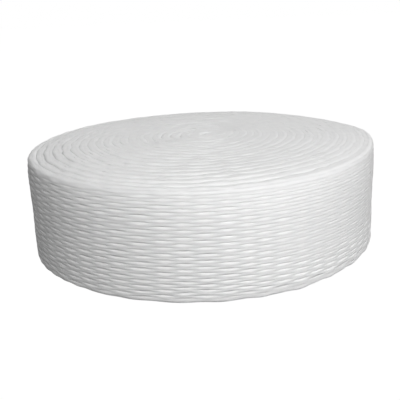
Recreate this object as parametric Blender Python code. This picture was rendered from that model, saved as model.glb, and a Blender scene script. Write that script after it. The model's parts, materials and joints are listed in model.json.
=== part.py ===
"""Roll of foam net sleeve that guards young tree trunks.

The sleeve is a soft extruded net tube, pressed flat and wound on its edge into a roll with no core.
Every turn of the roll is a separate band. The last stretch of the outermost turn is a chain of
segments, hinged so that the free end peels away from the roll.

Units are metres and +Z is up. The roll stands on z = 0, with its winding axis on the Z axis.
Blender 4.5: blender --background --python part.py
"""

from math import cos, pi, radians, sin

import bmesh
import bpy
from mathutils import Vector

# Driving dimensions
ROLL_RADIUS = 0.190  # from the winding axis to the outside, at the free end
SLEEVE_WIDTH = 0.106  # the flattened sleeve, fold to fold, which is the roll's height
TURN_PITCH = 0.009  # what one turn adds to the radius: two layers of net, pressed together
TURN_COUNT = 19
TAIL_SEGMENTS = 6
TAIL_STEP = radians(20)  # the arc of one tail segment, and how far its hinge opens
FREE_END_ANGLE = radians(40)  # where the outermost turn ends, seen from above
FOLD_CHAMFER = 0.0022  # eases the folded edges at the top and bottom of every turn
GAP = 0.0003  # between neighbouring pieces

# How finely a turn is faceted. The coarse turns lie inside the fine ones, on every second corner.
FINE_STEP = radians(10)
COARSE_STEP = 2 * FINE_STEP
LAST_COARSE_TURN = 7

FULL_TURN = 2 * pi
FULL_TRAVEL = TURN_COUNT * FULL_TURN
TAIL_START = FULL_TRAVEL - TAIL_SEGMENTS * TAIL_STEP
BAND_THICKNESS = TURN_PITCH - GAP
# A ray through the free end crosses one more thickness than there are whole turns.
EYE_RADIUS = ROLL_RADIUS - (TURN_COUNT + 1) * TURN_PITCH

FOAM_COLOUR = (0.86, 0.86, 0.86, 1.0)
FOAM_ROUGHNESS = 0.62
FOAM_SHEEN = 0.15
SHARP_ANGLE = radians(35)


def clear_scene():
    for obj in list(bpy.data.objects):
        bpy.data.objects.remove(obj, do_unlink=True)


def foam_material(name):
    """White closed-cell polyethylene foam."""
    material = bpy.data.materials.new(name)
    material.use_nodes = True
    shader = material.node_tree.nodes["Principled BSDF"]
    shader.inputs["Base Color"].default_value = FOAM_COLOUR
    shader.inputs["Metallic"].default_value = 0.0
    shader.inputs["Roughness"].default_value = FOAM_ROUGHNESS
    shader.inputs["Sheen Weight"].default_value = FOAM_SHEEN
    return material


def middle_radius(travel):
    """Radius of the band's middle line after it has wound through this angle from its start."""
    return EYE_RADIUS + TURN_PITCH / 2 + TURN_PITCH * travel / FULL_TURN


def plan_point(travel, radius):
    """A point at z = 0. Seen from above, the band winds outwards clockwise."""
    angle = FREE_END_ANGLE + FULL_TRAVEL - travel
    return Vector((radius * cos(angle), radius * sin(angle), 0.0))


def stations(start, end, step):
    """Travel angles along a band, drawn in at both ends to leave half the gap there."""
    count = round((end - start) / step)
    travels = [start + step * index for index in range(count + 1)]
    travels[0] += GAP / 2 / middle_radius(start)
    travels[-1] -= GAP / 2 / middle_radius(end)
    return travels


def bevel_folds(bm):
    """Chamfers the outline of the top and of the bottom, and leaves the seams across them flat."""
    folds = []
    for edge in bm.edges:
        low, high = sorted(vert.co.z for vert in edge.verts)
        if high - low < GAP and edge.calc_face_angle() > SHARP_ANGLE:
            folds.append(edge)
    bmesh.ops.bevel(bm, geom=folds, offset=FOLD_CHAMFER, segments=1, affect="EDGES")


def raise_plan(bm):
    """Extrudes the plan's faces up to the sleeve's width and eases the folds."""
    lifted = bmesh.ops.extrude_face_region(bm, geom=bm.faces[:])["geom"]
    corners = [item for item in lifted if isinstance(item, bmesh.types.BMVert)]
    bmesh.ops.translate(bm, verts=corners, vec=(0.0, 0.0, SLEEVE_WIDTH))
    bmesh.ops.recalc_face_normals(bm, faces=bm.faces[:])
    bevel_folds(bm)


def add_object(name, bm, origin):
    """Links the shape as an object with its origin at this point of the scene."""
    bmesh.ops.translate(bm, verts=bm.verts[:], vec=-origin)
    mesh = bpy.data.meshes.new(name)
    bm.to_mesh(mesh)
    bm.free()
    mesh.shade_smooth()
    mesh.set_sharp_from_angle(angle=SHARP_ANGLE)
    mesh.materials.append(foam_material(f"{name}_foam"))
    obj = bpy.data.objects.new(name, mesh)
    obj.location = origin
    bpy.context.collection.objects.link(obj)
    return obj


def add_band(name, start, end, step, origin):
    """A stretch of the wound sleeve, between two travel angles."""
    bm = bmesh.new()
    rows = []
    for travel in stations(start, end, step):
        radius = middle_radius(travel)
        inner = bm.verts.new(plan_point(travel, radius - BAND_THICKNESS / 2))
        outer = bm.verts.new(plan_point(travel, radius + BAND_THICKNESS / 2))
        rows.append((inner, outer))
    for (inner, outer), (next_inner, next_outer) in zip(rows, rows[1:]):
        bm.faces.new((inner, outer, next_outer, next_inner))
    raise_plan(bm)
    return add_object(name, bm, origin)


def add_start_fold():
    """The sleeve's first end, folded up tight in the snail-shaped eye that the first turn leaves."""
    bm = bmesh.new()
    outline = []
    for travel in stations(0.0, FULL_TURN, COARSE_STEP):
        radius = middle_radius(travel) - TURN_PITCH / 2 - GAP / 2
        outline.append(bm.verts.new(plan_point(travel, radius)))
    bm.faces.new(outline)
    raise_plan(bm)
    return add_object("start_fold", bm, Vector())


def hold(child, parent):
    """Parents a piece to the one that carries it, and leaves it where it is."""
    child.location -= parent.matrix_world.translation
    child.parent = parent
    bpy.context.view_layer.update()


def add_turns():
    """The turns, innermost first. The outermost stops where the tail begins."""
    turns = []
    for number in range(1, TURN_COUNT + 1):
        start = (number - 1) * FULL_TURN
        end = min(start + FULL_TURN, TAIL_START)
        step = COARSE_STEP if number <= LAST_COARSE_TURN else FINE_STEP
        turns.append(add_band(f"turn_{number:02d}", start, end, step, Vector()))
    return turns


def add_tail():
    """The tail's segments. Each has its origin on its hinge, which is on the roll's outer face."""
    segments = []
    for number in range(1, TAIL_SEGMENTS + 1):
        start = TAIL_START + (number - 1) * TAIL_STEP
        hinge = plan_point(start, middle_radius(start) + BAND_THICKNESS / 2)
        segments.append(add_band(f"tail_{number}", start, start + TAIL_STEP, FINE_STEP, hinge))
    return segments


def build_roll():
    start_fold = add_start_fold()
    turns = add_turns()
    tail = add_tail()
    bpy.context.view_layer.update()
    # Each turn is held by the turn outside it, and each tail segment by the one before it.
    for inner, outer in reversed(list(zip(turns, turns[1:]))):
        hold(inner, outer)
    hold(start_fold, turns[0])
    for segment, holder in zip(tail, [turns[-1], *tail]):
        hold(segment, holder)


clear_scene()
build_roll()
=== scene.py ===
"""Looks for the roll of foam net sleeve: the strands, their foam, a studio floor, light and camera.

The sleeve is one long net tube. It is modelled in its own coordinates: the travel, which is the angle
it has wound through from the eye outwards, and a place on its flattened cross-section. A last step
winds those coordinates into the roll, and lays the unevenness of a soft roll on top.

The roll's +X side is wound tighter than the other. Its slits are nearly closed and its folds are
pressed into one another, as on the right of the photo.
"""

import json
from math import atan2, cos, hypot, pi, radians, sin

import bpy
import numpy as np
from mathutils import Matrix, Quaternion, Vector


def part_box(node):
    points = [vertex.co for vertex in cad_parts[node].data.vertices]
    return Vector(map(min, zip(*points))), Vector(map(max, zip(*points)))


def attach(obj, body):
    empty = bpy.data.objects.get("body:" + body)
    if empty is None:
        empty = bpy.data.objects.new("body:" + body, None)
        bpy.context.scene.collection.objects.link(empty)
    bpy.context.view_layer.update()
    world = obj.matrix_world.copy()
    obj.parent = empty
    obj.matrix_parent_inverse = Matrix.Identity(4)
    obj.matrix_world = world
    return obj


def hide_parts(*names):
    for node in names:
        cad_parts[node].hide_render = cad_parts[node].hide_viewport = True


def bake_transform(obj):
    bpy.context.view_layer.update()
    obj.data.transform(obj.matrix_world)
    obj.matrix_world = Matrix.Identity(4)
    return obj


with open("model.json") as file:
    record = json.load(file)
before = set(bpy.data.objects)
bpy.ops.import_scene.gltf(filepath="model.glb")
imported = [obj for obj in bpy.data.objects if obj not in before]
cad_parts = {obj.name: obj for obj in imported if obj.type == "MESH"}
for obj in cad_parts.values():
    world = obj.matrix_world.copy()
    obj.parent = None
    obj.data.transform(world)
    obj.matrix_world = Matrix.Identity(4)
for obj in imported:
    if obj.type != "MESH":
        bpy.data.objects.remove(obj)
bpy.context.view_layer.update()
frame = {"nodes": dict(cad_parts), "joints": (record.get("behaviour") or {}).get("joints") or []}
MM = 0.001
FULL_TURN = 2 * pi

# The spiral, read from the frame. The sleeve winds clockwise, seen from above.
TURN_NODES = sorted(name for name in frame["nodes"] if name.startswith("turn_"))
TAIL_HINGES = [joint for joint in frame["joints"] if joint["type"] == "hinge"]
TURN_COUNT = len(TURN_NODES)
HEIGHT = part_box(TURN_NODES[-1])[1].z
PITCH = (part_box("turn_18")[1].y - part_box("turn_02")[1].y) / 16
TURN_GAP = 0.3 * MM  # between two turns of the CAD
TAIL_STEP = radians(TAIL_HINGES[0]["range_deg"][1])
TAIL_ARC = TAIL_STEP * len(TAIL_HINGES)
END_TRAVEL = TURN_COUNT * FULL_TURN
TAIL_TRAVEL = END_TRAVEL - TAIL_ARC
FIRST_HINGE = TAIL_HINGES[0]["pos_m"]
HINGE_ANGLE = atan2(FIRST_HINGE[1], FIRST_HINGE[0])
HINGE_RADIUS = hypot(FIRST_HINGE[0], FIRST_HINGE[1])
MIDDLE_AT_HINGE = HINGE_RADIUS - (PITCH - TURN_GAP) / 2
ROLL_RADIUS = MIDDLE_AT_HINGE + PITCH / 2

# The net
STRANDS = 72  # round the whole tube
STRAND_DEPTH = 1.5 * MM  # half a strand's thickness, through the net
STRAND_REACH = 1.9 * MM  # half a strand's width where nothing touches it
STRAND_CURVE = 4.5  # exponent of a strand's outline: 2 is an ellipse, more is fuller
THIN_SIDE = 0.3 * MM  # half the height of a strand's free side
LAYER = 2.8 * MM  # from the flattened sleeve's middle plane to the middle of a strand
MESH_LENGTH = 36 * MM  # a diamond, from joint to joint
HIGH_SWAY, LOW_SWAY = 0.46 * MM, 0.76 * MM  # how far strands bend to their joints, high and low
FOLD_SWAY, RIM_SWAY = 0.3 * MM, 0.55 * MM  # the same on covered folds, and on the outermost
CLOSED_SHARE = 0.68  # how much less strands bend on the tight side
BAND_SWELL = 0.07 * MM  # how far joined strands stand proud of open ones
FOLD_SQUARENESS = 8.0  # exponent of a pressed fold's outline: 2 is round, more is squarer
LOOSE_SQUARENESS = 2.4  # the same for the outermost turn's
FOLD_SPREAD = 0.42  # how much wider than the faces the pressed folds are
TIGHT_SPREAD = 0.7  # how much more than that on the tight side, as a share of it
FOLD_LENGTH = pi * LAYER
FLAT_LENGTH = HEIGHT - 2 * (LAYER + STRAND_DEPTH)
GIRTH = 2 * (FOLD_LENGTH + FLAT_LENGTH)
STRAND_PITCH = GIRTH / STRANDS
EDGE_ROWS = 6  # strands beside each fold that are modelled on a covered turn

# Where the folded start begins, and how far either side of a seam the slip of two turns is taken up
EYE_TRAVEL = radians(-370)
SLIP_HALF_ARC = radians(85)

# The soft roll's unevenness
DOME = 4.5 * MM  # how far the eye stands above the rim
BROW_HEIGHT = 32 * MM  # how far down the wall the rounding of the rim reaches
BROW_DROP, BROW_SET_BACK = 4.1 * MM, 5.2 * MM  # how far it takes the rim down and inwards in front
BROW_ELSEWHERE = 0.55  # share of those at the sides and the back
BROW_TURNS = 2.0  # turns over which the rounding fades inwards
FOOT_SET_BACK = 1.3 * MM  # how far the foot is drawn in at the two ends
ROW_SAG = 2.5 * MM  # how far the rows sag at half height
BELLY, HOLLOW = 3.2 * MM, 2.4 * MM  # how far the wall swells front and back, and hollows at the ends
END_LENGTH = 60 * MM  # length of sleeve over which the free end is pressed flat
END_DROP = 1.6 * MM  # how far the pressed end's top edge sinks
SHOULDER_ANGLE, SHOULDER_HALF_ARC = radians(6), radians(13)  # a lump on the rim, from +X towards +Y
SHOULDER_RISE, SHOULDER_BULGE = 0.8 * MM, 3.2 * MM


def middle_radius(travel):
    """Radius of the flattened sleeve's middle plane."""
    return MIDDLE_AT_HINGE + PITCH * (travel - TAIL_TRAVEL) / FULL_TURN


def length_at(travel):
    """Length of sleeve wound up at this travel."""
    base = middle_radius(0.0)
    return base * travel + PITCH * travel**2 / (2 * FULL_TURN)


def travel_at(length):
    """Travel at which this length of sleeve is wound up."""
    base = middle_radius(0.0)
    growth = PITCH / FULL_TURN
    return (np.sqrt(base**2 + 2 * growth * length) - base) / growth


def plan_angle(travel):
    """Angle seen from above, from +X towards +Y."""
    return HINGE_ANGLE + TAIL_TRAVEL - travel


def smooth(value):
    """0 below 0, 1 above 1 and a smooth rise between them."""
    value = np.clip(value, 0.0, 1.0)
    return value * value * (3 - 2 * value)


class Waves:
    """A smooth uneven curve along a length: sines of mixed wavelengths with seeded phases."""

    def __init__(self, seed, wavelengths, heights, rows=1):
        self.turns = FULL_TURN / np.array(wavelengths)
        self.heights = np.array(heights)
        rng = np.random.default_rng(seed)
        self.phases = rng.uniform(0, FULL_TURN, (rows, len(wavelengths)))

    def along(self, length):
        """The first row's curve, for lengths in any shape."""
        total = 0.0
        for turns, height, phase in zip(self.turns, self.heights, self.phases[0]):
            total = total + height * np.sin(turns * length + phase)
        return total

    def rows_along(self, length):
        """One curve for each row, for a (1, station) array of lengths."""
        angle = self.turns * length[..., None] + self.phases[:, None, :]
        return (self.heights * np.sin(angle)).sum(-1)


# The height of the top edge and of the foot along the sleeve, and how far its top leans
CREST = Waves(11, (173 * MM, 97 * MM, 41 * MM, 23 * MM), (0.13 * MM, 0.1 * MM, 0.07 * MM, 0.04 * MM))
FOOT = Waves(12, (151 * MM, 83 * MM, 39 * MM, 18 * MM), (0.2 * MM, 0.2 * MM, 0.32 * MM, 0.1 * MM))
TILT = Waves(13, (131 * MM, 61 * MM), (0.22 * MM, 0.14 * MM))

# Where the joints lie, for the whole net and row by row, and how each strand strays from its row
MESH_PHASE = Waves(14, (410 * MM, 190 * MM, 67 * MM), (0.5, 0.35, 0.2))
ROW_PHASE = Waves(15, (260 * MM, 120 * MM), (0.16, 0.12), STRANDS)
ROW_SHIFT = Waves(16, (90 * MM, 38 * MM), (0.07 * MM, 0.05 * MM), STRANDS)
ROW_RISE = Waves(17, (70 * MM, 29 * MM), (0.08 * MM, 0.06 * MM), STRANDS)
FOLD_RISE = Waves(19, (37 * MM, 19 * MM), (0.13 * MM, 0.12 * MM), STRANDS)
ROW_THICKNESS = Waves(18, (55 * MM, 21 * MM), (0.05, 0.035), STRANDS)


def rim_share(travel):
    """1 on the outermost turn, fading over the next few inwards."""
    covered = np.maximum(0.0, (END_TRAVEL - travel) / FULL_TURN - 1)
    return np.exp(-covered / BROW_TURNS)


def tightness(travel):
    """1 on the tight side, where the folds are pressed into one another, and 0 on the other."""
    return smooth((np.cos(plan_angle(travel)) + 0.3) / 0.9)


def section(along, depth, squareness=FOLD_SQUARENESS):
    """A point in the flattened tube's wall, as (outwards, up), from its distance round and its depth.

    The distance starts at the middle of the bottom fold, goes up the outer face, over the top fold and
    down the inner face. The depth is from the middle of the wall, towards the side the wall faces.
    """
    along = np.mod(along, GIRTH)
    quarter = FOLD_LENGTH / 2
    top = quarter + FLAT_LENGTH
    inner = top + FOLD_LENGTH
    foot = inner + FLAT_LENGTH
    low_centre = STRAND_DEPTH + LAYER
    high_centre = HEIGHT - STRAND_DEPTH - LAYER
    facing = np.where(along < quarter, (along - quarter) / LAYER, 0.0)
    facing = np.where(along > top, (along - top) / LAYER, facing)
    facing = np.where(along > inner, pi, facing)
    facing = np.where(along > foot, pi + (along - foot) / LAYER, facing)
    centre = np.where(along < quarter, low_centre, low_centre + along - quarter)
    centre = np.where(along > top, high_centre, centre)
    centre = np.where(along > inner, high_centre - (along - inner), centre)
    centre = np.where(along > foot, low_centre, centre)
    level, upright = np.cos(facing), np.sin(facing)
    squared = np.abs(level) ** squareness + np.abs(upright) ** squareness
    distance = (LAYER + depth) * squared ** (-1 / squareness)
    return distance * level, centre + distance * upright


def fold_share(along):
    """1 on the folds, falling to 0 a little way down the faces."""
    along = np.mod(along, GIRTH)
    from_bottom = np.minimum(along, GIRTH - along)
    from_top = np.abs(along - GIRTH / 2)
    distance = np.minimum(from_bottom, from_top) - FOLD_LENGTH / 2
    return 1 - smooth(distance / (5 * MM))


def eye_shift(x, y):
    """Squeezes the middle of the roll into the uneven eye that a folded start leaves."""
    reach = 34 * MM
    longer, narrower = 0.2, 0.17
    turn = radians(24)
    right, back = 6 * MM, 5 * MM
    share = np.exp(-(x**2 + y**2) / reach**2)
    along = (x * cos(turn) + y * sin(turn)) * (1 + longer * share)
    across = (-x * sin(turn) + y * cos(turn)) * (1 - narrower * share)
    x = along * cos(turn) - across * sin(turn) + right * share
    y = along * sin(turn) + across * cos(turn) + back * share
    return x, y


def top_mound(angle, radius):
    """Low hills that run across the folds of the top."""
    hills = 0.55 * MM * np.sin(3 * angle + radius / (36 * MM))
    return hills + 0.35 * MM * np.sin(5 * angle - radius / (27 * MM) + 1)


def top_lean(angle, radius):
    """How far the tops of the turns lean outwards."""
    lean = 1.3 * MM * np.sin(2 * angle + radius / (30 * MM))
    return lean + 0.9 * MM * np.sin(3 * angle - radius / (21 * MM) + 2)


def out_of_round(angle):
    """How far the whole roll strays from a circle."""
    return 0.7 * MM * np.sin(2 * angle + 0.6) + 0.5 * MM * np.sin(5 * angle + 1.9)


def fold_spread(angle, up, outwards, rim):
    """How much wider a pressed fold is than the faces. The outermost's outer side stays narrow."""
    fold = smooth((np.abs(up - HEIGHT / 2) - HEIGHT / 2 + 9 * MM) / (5 * MM))
    spread = FOLD_SPREAD * (1 + TIGHT_SPREAD * np.maximum(0.0, np.cos(angle)))
    return 1 + spread * fold * np.where(outwards > 0, 1 - rim**3, 1)


def wind(travel, outwards, up):
    """Winds points of the sleeve into the roll and lays the soft roll's unevenness on them."""
    length = length_at(travel)
    angle = plan_angle(travel)
    tight = tightness(travel)
    outwards = outwards * fold_spread(angle, up, outwards, rim_share(travel))
    # On the tight side a point follows its own place in the spiral, so that folds slope into one
    # another. On the other side it follows the middle of its turn, so that they stand in steps.
    place = travel + FULL_TURN * tight * outwards / PITCH
    place_radius = middle_radius(place)
    outer_share = (place_radius / ROLL_RADIUS) ** 2
    rim = rim_share(place)

    high = smooth((up - 0.62 * HEIGHT) / (0.38 * HEIGHT))
    low = smooth((0.3 * HEIGHT - up) / (0.3 * HEIGHT))
    middle = np.sin(pi * np.clip(up / HEIGHT, 0, 1))
    brow = np.clip((up - (HEIGHT - BROW_HEIGHT)) / BROW_HEIGHT, 0, 1) ** 2 * rim
    brow = brow * (BROW_ELSEWHERE + (1 - BROW_ELSEWHERE) * np.maximum(0.0, -np.sin(angle)))

    end = np.exp(-(((length_at(END_TRAVEL) - length) / END_LENGTH) ** 2))
    pressed = end * (LAYER - STRAND_DEPTH + 0.3 * MM)
    outwards = outwards - pressed * (1 + np.clip(outwards / LAYER, -1, 1))
    from_shoulder = np.mod(angle - SHOULDER_ANGLE + pi, FULL_TURN) - pi
    shoulder = rim * np.exp(-((from_shoulder / SHOULDER_HALF_ARC) ** 2))

    # The top edge wavers least on the rim and on the tight side.
    crest = CREST.along(length) * (1 - 0.5 * rim) * (1 - 0.5 * tight) + 0.1 * MM
    crest = crest - END_DROP * end + SHOULDER_RISE * shoulder
    around_eye = smooth(middle_radius(travel) / (60 * MM))
    crest = crest + top_mound(angle, place_radius) * (1 - rim) * around_eye
    # Lifted by most of its waves' height, so that only their tips reach below the CAD's foot.
    foot = FOOT.along(length) + 0.7 * MM
    up = up + high * (crest + DOME * (1 - outer_share)) - BROW_DROP * brow
    up = up + low * foot - ROW_SAG * middle * outer_share

    inward = high * (TILT.along(length) + top_lean(angle, place_radius) * (1 - rim))
    inward = inward - BROW_SET_BACK * brow - FOOT_SET_BACK * low * rim * np.cos(angle) ** 2
    waist = (BELLY * np.sin(angle) ** 2 - HOLLOW * np.cos(angle) ** 2) * middle
    bulge = waist + out_of_round(angle) + SHOULDER_BULGE * shoulder * high
    radius = middle_radius(travel) + outwards + inward + bulge * outer_share
    x, y = eye_shift(radius * np.cos(angle), radius * np.sin(angle))
    return np.stack([x, y, np.broadcast_to(up, x.shape)], axis=-1)


class Shape:
    """Faces and vertex values of one piece, gathered from tubes."""

    def __init__(self):
        self.points, self.joints, self.sleeve, self.rims = [], [], [], []
        self.faces = []
        self.count = 0

    def add(self, points, joints, sleeve, rims, faces):
        self.points.append(points.reshape(-1, 3))
        self.joints.append(joints.reshape(-1))
        self.sleeve.append(sleeve.reshape(-1, 3))
        self.rims.append(np.broadcast_to(rims, points.shape[:-1]).reshape(-1))
        self.faces.extend(face + self.count for face in faces)
        self.count += len(self.points[-1])

    def add_tubes(self, travel, outwards, up, joints, round_girth, rims):
        """Closed tubes. outwards and up are (tube, station, corner) arrays in the sleeve's section.

        rims numbers the corners whose edge along the tube stays sharp; 0 is a smooth one.
        """
        points = wind(travel[None, :, None], outwards, up)
        tubes, steps, corners = outwards.shape
        index = np.arange(tubes * steps * corners).reshape(tubes, steps, corners)
        near, far = index[:, :-1], index[:, 1:]
        sides = np.stack([near, np.roll(near, -1, 2), np.roll(far, -1, 2), far], -1).reshape(-1, 4)
        joint_values = np.broadcast_to(joints[:, :, None], outwards.shape)
        along = np.broadcast_to(length_at(travel)[None, :, None], outwards.shape)
        sleeve = np.stack([along, round_girth, np.zeros(outwards.shape)], -1)
        self.add(points, joint_values, sleeve, rims, [sides])
        # The ends have their own corners, so that the tube's smooth shading stops there.
        for step, order in ((0, slice(None, None, -1)), (-1, slice(None))):
            ends = np.arange(tubes * corners).reshape(tubes, corners)[:, order]
            self.add(points[:, step], joint_values[:, step], sleeve[:, step], 0, [ends])

    def build(self, name, material):
        mesh = bpy.data.meshes.new(name)
        points = np.concatenate(self.points).astype(np.float32)
        loops = np.concatenate([face.ravel() for face in self.faces])
        sizes = np.concatenate([np.full(len(face), face.shape[1]) for face in self.faces])
        starts = np.concatenate([[0], np.cumsum(sizes)[:-1]])
        mesh.vertices.add(len(points))
        mesh.vertices.foreach_set("co", points.ravel())
        mesh.loops.add(len(loops))
        mesh.loops.foreach_set("vertex_index", loops.astype(np.int32))
        mesh.polygons.add(len(sizes))
        mesh.polygons.foreach_set("loop_start", starts.astype(np.int32))
        mesh.update(calc_edges=True)
        mesh.shade_smooth()
        rims = np.concatenate(self.rims)
        ends = np.empty(2 * len(mesh.edges), np.int32)
        mesh.edges.foreach_get("vertices", ends)
        first, second = rims[ends.reshape(-1, 2)].T
        sharp = mesh.attributes.new("sharp_edge", "BOOLEAN", "EDGE")
        sharp.data.foreach_set("value", (first == second) & (first > 0))
        joint = mesh.attributes.new("joint", "FLOAT", "POINT")
        joint.data.foreach_set("value", np.concatenate(self.joints).astype(np.float32))
        sleeve = mesh.attributes.new("sleeve", "FLOAT_VECTOR", "POINT")
        sleeve.data.foreach_set("vector", np.concatenate(self.sleeve).astype(np.float32).ravel())
        mesh.materials.append(material)
        piece = bpy.data.objects.new(name, mesh)
        bpy.context.scene.collection.objects.link(piece)
        return piece


def stations(start, end, per_mesh):
    """Travel values spaced evenly by length, at least so many to each diamond."""
    first, last = length_at(start), length_at(end)
    count = max(2, int(np.ceil((last - first) / MESH_LENGTH * per_mesh)) + 1)
    travel = travel_at(np.linspace(first, last, count))
    travel[0], travel[-1] = start, end
    return travel


def openness(travel, height):
    """How far the winding left the slits open. It pulled them tight on the +X side, above the foot."""
    tight = smooth((np.cos(plan_angle(travel)) - 0.05) / 0.6)
    return 1 - CLOSED_SHARE * tight * smooth((height - 0.05) / 0.4)


def strand_lines(travel):
    """Where each strand runs, as distance round the tube, and how far it is bent to a neighbour.

    Neighbours bend to meet in joints, by turns on one side and on the other: 1 is a joint with the
    next strand, -1 is a joint with the one before.
    """
    length = length_at(travel)
    rows = np.arange(STRANDS)[:, None]
    side = np.where(rows % 2 == 0, 1.0, -1.0)
    phase = FULL_TURN * length / MESH_LENGTH + MESH_PHASE.along(length)
    phase = phase + ROW_PHASE.rows_along(length)
    wave = np.sin(phase)
    base = (rows + 0.5) * STRAND_PITCH
    height = section(base, 0.0)[1] / HEIGHT
    sway = HIGH_SWAY + (LOW_SWAY - HIGH_SWAY) * np.clip(1 - height, 0, 1) ** 1.6
    fold_sway = FOLD_SWAY + (RIM_SWAY - FOLD_SWAY) * rim_share(travel)
    sway = (sway + (fold_sway - sway) * fold_share(base)) * openness(travel, height)
    return base + side * sway * wave + ROW_SHIFT.rows_along(length), side * wave


def fullness(share):
    """Depth of a strand's outline, as a share of its middle's, at this share of its reach."""
    return (1 - share**STRAND_CURVE) ** (1 / STRAND_CURVE)


def add_strands(shape, travel, rows, fine):
    """The net's strands. Each reaches its neighbours where they touch, so that joints look fused."""
    length = length_at(travel)[None, :]
    along, bend = strand_lines(travel[None, :])
    joined = bend**2
    base = (np.arange(STRANDS)[:, None] + 0.5) * STRAND_PITCH
    fold = fold_share(base)
    # Strands are squeezed wider on the folds, most of all on the tight side.
    widest = STRAND_REACH * (1 + (0.12 + 0.45 * tightness(travel)[None, :]) * fold)
    height = section(base, 0.0)[1] / HEIGHT
    opened = openness(travel[None, :], height)
    swell = BAND_SWELL * (1 - 0.3 * fold) * opened**2
    after = np.concatenate([along[1:], along[:1] + GIRTH])
    before = np.concatenate([along[-1:] - GIRTH, along[:-1]])
    right = np.minimum((after - along) / 2, widest)
    left = np.minimum((along - before) / 2, widest)
    depth = STRAND_DEPTH * (1 + ROW_THICKNESS.rows_along(length) + 0.05 * joined)
    rise = ROW_RISE.rows_along(length) + FOLD_RISE.rows_along(length) * fold * opened

    def corner(sideways, reach, way, share=1.0):
        thick = np.maximum(depth * fullness(share * reach / widest), THIN_SIDE)
        return sideways * share * reach, way * thick

    # Corners of the outline, as offsets round the tube and through the net
    flank = 0.78
    ring = [(0 * depth, depth), corner(1, right, 1, flank), corner(1, right, 1)]
    rims = [0, 0, 1]
    if fine:
        ring += [corner(1, right, -1), (0 * depth, -depth), corner(-1, left, -1)]
        rims += [2, 0, 3]
    else:
        ring += [(0 * depth, -depth)]
        rims += [0]
    ring += [corner(-1, left, 1), corner(-1, left, 1, flank)]
    rims += [4, 0]
    rows = np.asarray(rows)
    round_girth = np.stack([along + offset for offset, _ in ring], -1)[rows]
    through = np.stack([rise + level for _, level in ring], -1)[rows]
    from_base = round_girth - base[rows][..., None]
    bands = np.sin(pi * from_base / STRAND_PITCH) * (swell * bend)[rows][..., None]
    through = through + bands
    # A fold's inner half is pressed against the next turn in, so it is squared even on the outermost.
    inner_half = np.mod(round_girth, GIRTH) > GIRTH / 2
    loose = rim_share(travel)[:, None] ** 3 * (1 - inner_half * tightness(travel)[:, None])
    squareness = FOLD_SQUARENESS + (LOOSE_SQUARENESS - FOLD_SQUARENESS) * loose
    outwards, up = section(round_girth, through, squareness)
    shape.add_tubes(travel, outwards, up, joined[rows], round_girth, np.array(rims))


def add_covered_web(shape, travel, low_row, high_row):
    """The covered middle of a turn: the net's two faces, pressed together into one ribbed wall."""
    rows = np.arange(low_row, high_row + 1)
    valleys = rows * STRAND_PITCH
    ribs = valleys[:-1] + STRAND_PITCH / 2
    round_outer = np.sort(np.concatenate([ribs, valleys]))
    depth = np.where(np.isin(round_outer, ribs), STRAND_DEPTH * 0.9, STRAND_DEPTH * 0.4)
    outwards, height = section(round_outer, depth)
    outwards = np.concatenate([outwards, -outwards[::-1]])
    up = np.concatenate([height, height[::-1]])
    outwards = np.broadcast_to(outwards, (1, len(travel), len(outwards)))
    up = np.broadcast_to(up, outwards.shape)
    half_joined = np.full((1, len(travel)), 0.5)
    shape.add_tubes(travel, outwards, up, half_joined, up, 0)


def edge_rows():
    """Strands on and beside the two folds."""
    top = STRANDS // 2
    rows = list(range(top - EDGE_ROWS, top + EDGE_ROWS))
    return rows + list(range(EDGE_ROWS)) + list(range(STRANDS - EDGE_ROWS, STRANDS))


def net_piece(name, start, end, material, kind):
    """A length of sleeve: "covered" by the next turn, "held" with its outer face bare or "loose"."""
    shape = Shape()
    if kind == "covered":
        add_strands(shape, stations(start, end, 8), edge_rows(), False)
        web = stations(start, end, 3)
        add_covered_web(shape, web, EDGE_ROWS - 1, STRANDS // 2 - EDGE_ROWS + 1)
    else:
        add_strands(shape, stations(start, end, 10), range(STRANDS), kind == "loose")
    return shape.build(name, material)


def slip_piece(number, material):
    """The stretch between two turns, which takes up the slip between them."""
    seam = number * FULL_TURN
    name = f"net_slip_{number:02d}"
    piece = net_piece(name, seam - SLIP_HALF_ARC, seam + SLIP_HALF_ARC, material, "covered")
    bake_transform(piece)


def coil_pieces(material):
    """Start fold, covered turns and the stretches between them."""
    bodies = [f"slip_{number:02d}" for number in range(1, TURN_COUNT - 1)] + ["coil"]
    start = net_piece("net_start_fold", EYE_TRAVEL, 0.0, material, "covered")
    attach(start, bodies[0])
    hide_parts("start_fold")
    outer_seam = (TURN_COUNT - 1) * FULL_TURN
    bared_from = outer_seam - TAIL_ARC - TAIL_STEP
    for number, body in enumerate(bodies, 1):
        first = (number - 1) * FULL_TURN + (SLIP_HALF_ARC if number > 1 else 0.0)
        last = bared_from if body == "coil" else number * FULL_TURN - SLIP_HALF_ARC
        turn = net_piece(f"net_turn_{number:02d}", first, last, material, "covered")
        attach(turn, body)
        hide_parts(f"turn_{number:02d}")
        if body != "coil":
            slip_piece(number, material)
    # The tail bares this stretch when it peels off.
    bared = net_piece("net_turn_18_under_tail", bared_from, outer_seam, material, "held")
    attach(bared, "coil")


def outer_pieces(material):
    """The outermost turn and the tail that peels off it."""
    half = TAIL_STEP / 2
    outer = net_piece("net_turn_19", END_TRAVEL - FULL_TURN, TAIL_TRAVEL - half, material, "held")
    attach(outer, "coil")
    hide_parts("turn_19")
    bodies = ["coil"] + [joint["child"] for joint in TAIL_HINGES]
    for index, joint in enumerate(TAIL_HINGES):
        hinge = TAIL_TRAVEL + index * TAIL_STEP
        piece = net_piece(f"net_tail_{index + 1}", hinge - half, hinge + half, material, "loose")
        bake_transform(piece)
        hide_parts(f"tail_{index + 1}")
    end = net_piece("net_free_end", END_TRAVEL - half, END_TRAVEL, material, "loose")
    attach(end, bodies[-1])


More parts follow.
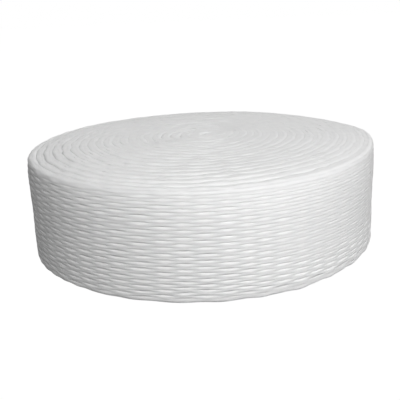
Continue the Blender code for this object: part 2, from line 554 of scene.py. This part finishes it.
def node(tree, kind, **values):
    """A shader node. Each value sets the input of that name, or else the property."""
    made = tree.nodes.new(kind)
    for name, value in values.items():
        if name in made.inputs:
            made.inputs[name].default_value = value
        else:
            setattr(made, name, value)
    return made


def foam_material():
    """White closed-cell foam that lets some light in, with drawn streaks and a cell grain."""
    material = bpy.data.materials.new("net_foam")
    material.use_nodes = True
    tree = material.node_tree
    link = tree.links.new
    shader = tree.nodes["Principled BSDF"]
    sleeve = node(tree, "ShaderNodeAttribute", attribute_name="sleeve")
    joint = node(tree, "ShaderNodeAttribute", attribute_name="joint")
    place = node(tree, "ShaderNodeTexCoord")

    streaks_at = node(tree, "ShaderNodeVectorMath", operation="MULTIPLY")
    streaks_at.inputs[1].default_value = (70, 750, 6000)
    link(sleeve.outputs["Vector"], streaks_at.inputs[0])
    streaks = node(tree, "ShaderNodeTexNoise", Scale=1.0, Detail=3.0, Roughness=0.6)
    link(streaks_at.outputs[0], streaks.inputs["Vector"])
    grain = node(tree, "ShaderNodeTexNoise", Scale=1500.0, Detail=2.0, Roughness=0.5)
    link(place.outputs["Object"], grain.inputs["Vector"])
    patches = node(tree, "ShaderNodeTexNoise", Scale=45.0, Detail=3.0, Roughness=0.55)
    link(place.outputs["Object"], patches.inputs["Vector"])

    tone = node(tree, "ShaderNodeMixRGB")
    tone.inputs[1].default_value = (0.90, 0.905, 0.91, 1)
    tone.inputs[2].default_value = (0.97, 0.97, 0.965, 1)
    share = node(tree, "ShaderNodeMath", operation="ADD")
    link(patches.outputs["Fac"], share.inputs[0])
    joint_share = node(tree, "ShaderNodeMath", operation="MULTIPLY")
    joint_share.inputs[1].default_value = 0.3
    link(joint.outputs["Fac"], joint_share.inputs[0])
    link(joint_share.outputs[0], share.inputs[1])
    link(share.outputs[0], tone.inputs["Fac"])
    link(tone.outputs[0], shader.inputs["Base Color"])

    rough = node(tree, "ShaderNodeMapRange")
    rough.inputs["To Min"].default_value = 0.55
    rough.inputs["To Max"].default_value = 0.8
    link(streaks.outputs["Fac"], rough.inputs["Value"])
    link(rough.outputs["Result"], shader.inputs["Roughness"])

    streak_bump = node(tree, "ShaderNodeBump", Strength=0.7, Distance=0.5 * MM)
    link(streaks.outputs["Fac"], streak_bump.inputs["Height"])
    grain_bump = node(tree, "ShaderNodeBump", Strength=0.5, Distance=0.12 * MM)
    link(grain.outputs["Fac"], grain_bump.inputs["Height"])
    link(streak_bump.outputs["Normal"], grain_bump.inputs["Normal"])
    link(grain_bump.outputs["Normal"], shader.inputs["Normal"])
    shader.inputs["Sheen Weight"].default_value = 0.12
    shader.inputs["Sheen Roughness"].default_value = 0.6
    shader.inputs["IOR"].default_value = 1.4
    shader.inputs["Specular IOR Level"].default_value = 0.3
    shader.inputs["Subsurface Weight"].default_value = 0.5
    shader.inputs["Subsurface Radius"].default_value = (1.0, 1.0, 1.0)
    shader.inputs["Subsurface Scale"].default_value = 2 * MM
    return material


def studio_floor():
    """Pale floor that reaches past the picture. The camera sees it near white."""
    mesh = bpy.data.meshes.new("studio_floor")
    reach = 8.0
    around = np.linspace(0, FULL_TURN, 65)[:-1]
    ring = [(reach * cos(angle), reach * sin(angle), 0.0) for angle in around]
    mesh.from_pydata(ring, [], [tuple(range(len(ring)))])
    floor = bpy.data.objects.new("studio_floor", mesh)
    # Just under the lowest tips of the wavy foot
    floor.location.z = -0.7 * MM
    bpy.context.scene.collection.objects.link(floor)
    material = bpy.data.materials.new("studio_floor")
    material.use_nodes = True
    tree = material.node_tree
    tree.nodes["Principled BSDF"].inputs["Base Color"].default_value = (0.16, 0.16, 0.16, 1)
    tree.nodes["Principled BSDF"].inputs["Roughness"].default_value = 0.9
    glow = node(tree, "ShaderNodeEmission", Strength=1.08)
    path = node(tree, "ShaderNodeLightPath")
    seen = node(tree, "ShaderNodeMath", operation="MULTIPLY")
    seen.inputs[1].default_value = 0.93
    tree.links.new(path.outputs["Is Camera Ray"], seen.inputs[0])
    mix = node(tree, "ShaderNodeMixShader")
    tree.links.new(seen.outputs[0], mix.inputs[0])
    tree.links.new(tree.nodes["Principled BSDF"].outputs[0], mix.inputs[1])
    tree.links.new(glow.outputs[0], mix.inputs[2])
    tree.links.new(mix.outputs[0], tree.nodes["Material Output"].inputs["Surface"])
    mesh.materials.append(material)


def area_light(name, azimuth, elevation, distance, size, power):
    """A soft square light aimed at the roll. Azimuth is from +X towards +Y."""
    light = bpy.data.lights.new(name, "AREA")
    light.shape, light.size, light.energy = "SQUARE", size, power
    lamp = bpy.data.objects.new(name, light)
    flat = cos(elevation)
    direction = Vector((flat * cos(azimuth), flat * sin(azimuth), sin(elevation)))
    lamp.location = Vector((0, 0, HEIGHT / 2)) + direction * distance
    lamp.rotation_mode = "QUATERNION"
    lamp.rotation_quaternion = direction.to_track_quat("Z", "Y")
    bpy.context.scene.collection.objects.link(lamp)


def studio_light():
    """A dim even room that the camera sees as white, and soft lamps all round."""
    world = bpy.data.worlds.new("studio")
    bpy.context.scene.world = world
    world.use_nodes = True
    tree = world.node_tree
    dim = tree.nodes["Background"]
    dim.inputs["Color"].default_value = (1, 1, 1, 1)
    dim.inputs["Strength"].default_value = 0.215
    seen = node(tree, "ShaderNodeBackground", Color=(1, 1, 1, 1), Strength=1.0)
    path = node(tree, "ShaderNodeLightPath")
    mix = node(tree, "ShaderNodeMixShader")
    tree.links.new(path.outputs["Is Camera Ray"], mix.inputs[0])
    tree.links.new(dim.outputs[0], mix.inputs[1])
    tree.links.new(seen.outputs[0], mix.inputs[2])
    tree.links.new(mix.outputs[0], tree.nodes["World Output"].inputs["Surface"])
    area_light("high key", radians(285), radians(40), 1.3, 0.8, 4.8)
    area_light("low key", radians(299), radians(15), 1.3, 0.8, 7.3)
    area_light("left fill", radians(240), radians(15), 1.3, 0.8, 1.2)
    area_light("overhead", 0.0, radians(89.9), 0.6, 0.3, 0.45)
    area_light("back", radians(60), radians(35), 1.3, 0.8, 2.8)
    area_light("back fill", radians(110), radians(8), 1.3, 0.8, 2.4)
    bpy.context.scene.view_settings.view_transform = "Standard"
    bpy.context.scene.cycles.diffuse_bounces = 12


def studio_camera():
    """Looks down at the roll from 3.8 of its radii away, aimed past it so that it sits off centre."""
    elevation, roll = radians(16.2), radians(2.39)
    aim_down, aim_left = radians(1.3094), radians(0.3638)
    visible_radius = (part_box("turn_19")[1].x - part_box("turn_19")[0].x) / 2
    distance = 3.8 * visible_radius
    middle = Vector((0, 0, HEIGHT / 2))
    back = Vector((0, -cos(elevation), sin(elevation)))
    camera = bpy.data.cameras.new("camera")
    camera.sensor_width = 36
    camera.lens = 56.7
    camera.clip_start = 0.01
    placed = bpy.data.objects.new("camera", camera)
    placed.location = middle + back * distance
    look = back.to_track_quat("Z", "Y")
    look = look @ Quaternion((1, 0, 0), -aim_down)
    look = look @ Quaternion((0, 1, 0), aim_left)
    look = look @ Quaternion((0, 0, 1), -roll)
    placed.rotation_mode = "QUATERNION"
    placed.rotation_quaternion = look
    bpy.context.scene.collection.objects.link(placed)
    bpy.context.scene.camera = placed


foam = foam_material()
coil_pieces(foam)
outer_pieces(foam)
studio_floor()
studio_light()
studio_camera()
